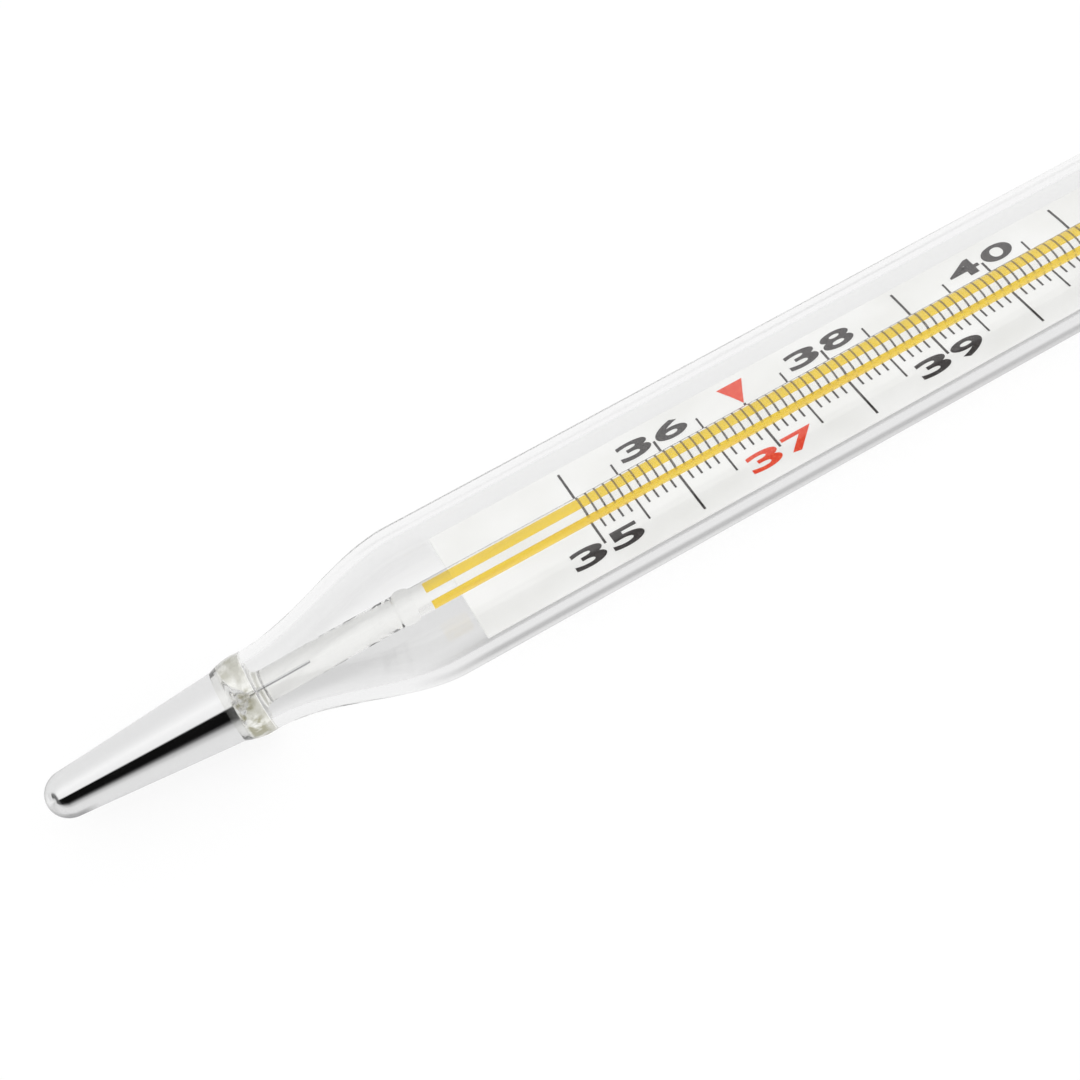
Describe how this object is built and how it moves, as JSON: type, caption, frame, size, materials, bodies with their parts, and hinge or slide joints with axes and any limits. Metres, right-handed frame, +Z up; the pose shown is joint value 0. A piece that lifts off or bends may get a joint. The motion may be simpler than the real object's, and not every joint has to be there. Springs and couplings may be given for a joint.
{
  "type": "clinical mercury thermometer",
  "caption": "Flat-oval enclosed-scale mercury fever thermometer with a tapered bulb, a drawn-down neck, yellow guide stripes and a white scale plate inside sealed glass.",
  "frame": {"origin": "middle of the whole thermometer's length and width, on the surface that its flat back lies on", "axes": "+X along the stem from the bulb to the sealed end, +Y across the stem, +Z up through the face of the scale"},
  "size_m": [0.112, 0.0114, 0.0068],
  "materials": {
    "sheath_glass": "clear drawn soda-lime glass",
    "bulb_glass": "clear thermometric glass, blown thin",
    "fused_glass": "clear glass, fused in a flame",
    "capillary_glass": "clear drawn glass rod",
    "yellow_glass": "opaque yellow enamel glass, drawn in",
    "milk_glass": "white opal glass, satin",
    "black_enamel": "fired black ceramic ink",
    "red_enamel": "fired red ceramic ink",
    "mercury": "liquid metal mirror"
  },
  "bodies": {
    "thermometer": {"glass_sheath": "sheath_glass", "neck_seal": "fused_glass", "bulb_glass": "bulb_glass", "bulb_mercury": "mercury", "constriction_pin": "bulb_glass", "lower_capillary": "capillary_glass", "capillary_tube": "capillary_glass", "yellow_stripe_left": "yellow_glass", "yellow_stripe_right": "yellow_glass", "scale_plate": "milk_glass", "degree_lines": "black_enamel", "half_degree_lines": "black_enamel", "tenth_lines": "black_enamel", "fever_arrow": "red_enamel", "plate_stop": "sheath_glass", "mercury_thread": "mercury"},
    "mercury_top": {"mercury_meniscus": "mercury"}
  },
  "joints": [
    {"name": "mercury_rise", "type": "slide", "parent": "thermometer", "child": "mercury_top", "axis": [1, 0, 0], "range_m": [0, 0.065], "deforming": ["mercury_thread"]}
  ]
}
